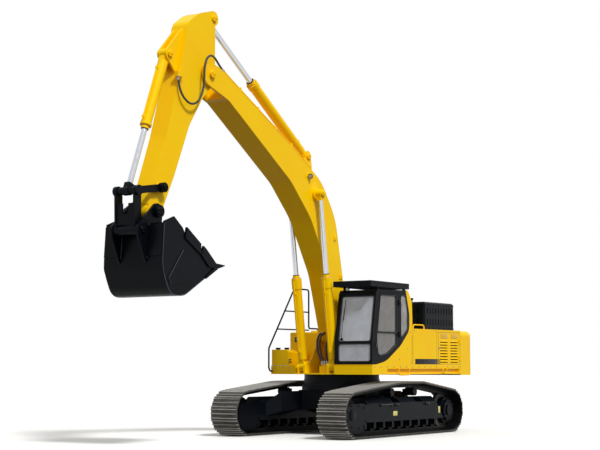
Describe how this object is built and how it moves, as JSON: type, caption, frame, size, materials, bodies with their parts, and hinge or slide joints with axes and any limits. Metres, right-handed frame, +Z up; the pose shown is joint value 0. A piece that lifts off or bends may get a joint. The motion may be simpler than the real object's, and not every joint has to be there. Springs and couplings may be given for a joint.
{
  "type": "crawler excavator",
  "caption": "Full-size crawler excavator with a slewing upper structure, cab, gooseneck boom, arm, hydraulic cylinders and a digging bucket.",
  "frame": {"origin": "on the ground, under the slewing axis", "axes": "+X forwards along the boom, +Y to the cab side, +Z up"},
  "size_m": [11.4348, 3.44, 8.5799],
  "materials": {
    "yellow_paint": "gloss",
    "black_paint": "satin",
    "track_steel": "worn",
    "frame_paint": "satin",
    "rod_chrome": "polished",
    "window_glass": "clear",
    "seat_fabric": "woven",
    "dark_plastic": "grained",
    "engine_iron": "matt",
    "radiator_alloy": "matt",
    "hose_rubber": "matt"
  },
  "bodies": {
    "undercarriage": {"track_left": "track_steel", "track_right": "track_steel", "idlers": "track_steel", "sprockets": "track_steel", "final_drives": "frame_paint", "track_rollers": "frame_paint", "carrier_rollers": "frame_paint", "track_frame_left": "frame_paint", "track_frame_right": "frame_paint", "carbody": "frame_paint", "slew_ring_lower": "frame_paint"},
    "upper": {"slew_ring_upper": "frame_paint", "deck": "yellow_paint", "counterweight": "yellow_paint", "engine_house": "yellow_paint", "engine_block": "engine_iron", "radiator": "radiator_alloy", "fuel_tank": "yellow_paint", "storage_box": "yellow_paint", "valve_bank": "engine_iron", "handrail": "black_paint", "cab_frame": "black_paint", "cab_rear_shell": "yellow_paint", "cab_glass": "window_glass", "operator_seat": "seat_fabric", "consoles": "dark_plastic", "roof_guard": "black_paint", "boom_brackets": "yellow_paint", "filler_caps": "black_paint", "grab_rails": "yellow_paint", "deck_ports": "yellow_paint", "boom_hose_1": "hose_rubber", "boom_hose_2": "hose_rubber", "boom_hose_3": "hose_rubber", "boom_hose_4": "hose_rubber"},
    "hood": {"engine_hood": "black_paint"},
    "radiator_side_door": {"radiator_door": "yellow_paint"},
    "pump_side_door": {"pump_door": "yellow_paint"},
    "cab_side_door": {"cab_door": "black_paint", "door_glass": "window_glass"},
    "boom_body": {"boom": "yellow_paint", "boom_lines": "yellow_paint", "boom_ports": "yellow_paint", "arm_hose": "hose_rubber"},
    "boom_barrels_body": {"boom_barrels": "yellow_paint"},
    "boom_rods_body": {"boom_rods": "rod_chrome", "boom_rod_eyes": "yellow_paint"},
    "arm_body": {"arm": "yellow_paint"},
    "arm_barrel_body": {"arm_barrel": "yellow_paint"},
    "arm_rod_body": {"arm_rod": "rod_chrome", "arm_rod_eye": "yellow_paint"},
    "bucket_barrel_body": {"bucket_barrel": "yellow_paint"},
    "bucket_rod_body": {"bucket_rod": "rod_chrome", "bucket_rod_eye": "black_paint"},
    "idler_body": {"idler_links": "black_paint"},
    "bucket_link_body": {"bucket_link": "black_paint"},
    "bucket_body": {"bucket": "black_paint", "bucket_teeth": "black_paint"}
  },
  "joints": [
    {"name": "slew", "type": "hinge", "parent": "undercarriage", "child": "upper", "pos_m": [0, 0, 0], "axis": [0, 0, 1], "continuous": true},
    {"name": "boom_lift", "type": "hinge", "parent": "upper", "child": "boom_body", "pos_m": [0.3, 0, 2.25], "axis": [0, -1, 0], "range_deg": [-89, 18], "deforming": ["boom_hose_1", "boom_hose_2", "boom_hose_3", "boom_hose_4"]},
    {"name": "arm_swing", "type": "hinge", "parent": "boom_body", "child": "arm_body", "pos_m": [5.283, 0, 7.261], "axis": [0, 1, 0], "range_deg": [-66, 48], "deforming": ["arm_hose"]},
    {"name": "bucket_curl", "type": "hinge", "parent": "arm_body", "child": "bucket_body", "pos_m": [6.994, 0, 4.371], "axis": [0, 1, 0], "range_deg": [-112, 48]},
    {"name": "boom_barrel_swing", "type": "hinge", "parent": "upper", "child": "boom_barrels_body", "pos_m": [0.97, 0, 1.5], "axis": [0, 1, 0], "range_deg": [-18, 87]},
    {"name": "boom_rod_slide", "type": "slide", "parent": "boom_barrels_body", "child": "boom_rods_body", "axis": [0.1447, 0, 0.9895], "range_m": [-1.415, 0.29]},
    {"name": "arm_barrel_swing", "type": "hinge", "parent": "boom_body", "child": "arm_barrel_body", "pos_m": [1.55, 0, 6.1], "axis": [0, 1, 0], "range_deg": [-6, 5]},
    {"name": "arm_rod_slide", "type": "slide", "parent": "arm_barrel_body", "child": "arm_rod_body", "axis": [0.8374, 0, 0.5466], "range_m": [-1.19, 0.87]},
    {"name": "bucket_barrel_swing", "type": "hinge", "parent": "arm_body", "child": "bucket_barrel_body", "pos_m": [6.4, 0, 7.49], "axis": [0, 1, 0], "range_deg": [-2, 1]},
    {"name": "bucket_rod_slide", "type": "slide", "parent": "bucket_barrel_body", "child": "bucket_rod_body", "axis": [0.3556, 0, -0.9346], "range_m": [-0.83, 0.36]},
    {"name": "idler_link_swing", "type": "hinge", "parent": "arm_body", "child": "idler_body", "pos_m": [6.79, 0, 4.84], "axis": [0, 1, 0], "range_deg": [-88, 38]},
    {"name": "bucket_link_swing", "type": "hinge", "parent": "bucket_body", "child": "bucket_link_body", "pos_m": [7.43, 0, 4], "axis": [0, 1, 0], "range_deg": [-32, 73]},
    {"name": "cab_door_hinge", "type": "hinge", "parent": "upper", "child": "cab_side_door", "pos_m": [0.01, 1.504, 2.3], "axis": [0, 0, 1], "range_deg": [0, 160]},
    {"name": "radiator_door_hinge", "type": "hinge", "parent": "upper", "child": "radiator_side_door", "pos_m": [-2.88, 1.504, 1.9], "axis": [0, 0, 1], "range_deg": [0, 100]},
    {"name": "pump_door_hinge", "type": "hinge", "parent": "upper", "child": "pump_side_door", "pos_m": [-2.88, -1.504, 1.9], "axis": [0, 0, -1], "range_deg": [0, 100]},
    {"name": "hood_hinge", "type": "hinge", "parent": "upper", "child": "hood", "pos_m": [-3.128, 0, 2.3643], "axis": [0, -1, 0], "range_deg": [0, 60]}
  ],
  "couplings": [
    {"joint": "boom_barrel_swing", "follows": "boom_lift", "ratio": -0.9711},
    {"joint": "boom_rod_slide", "follows": "boom_lift", "m_per_rad": 0.9081},
    {"joint": "arm_barrel_swing", "follows": "arm_swing", "ratio": 0.078},
    {"joint": "arm_rod_slide", "follows": "arm_swing", "m_per_rad": 1.0317},
    {"joint": "bucket_barrel_swing", "follows": "bucket_curl", "ratio": 0.012},
    {"joint": "bucket_rod_slide", "follows": "bucket_curl", "m_per_rad": 0.424},
    {"joint": "idler_link_swing", "follows": "bucket_curl", "ratio": 0.78},
    {"joint": "bucket_link_swing", "follows": "bucket_curl", "ratio": -0.65}
  ]
}
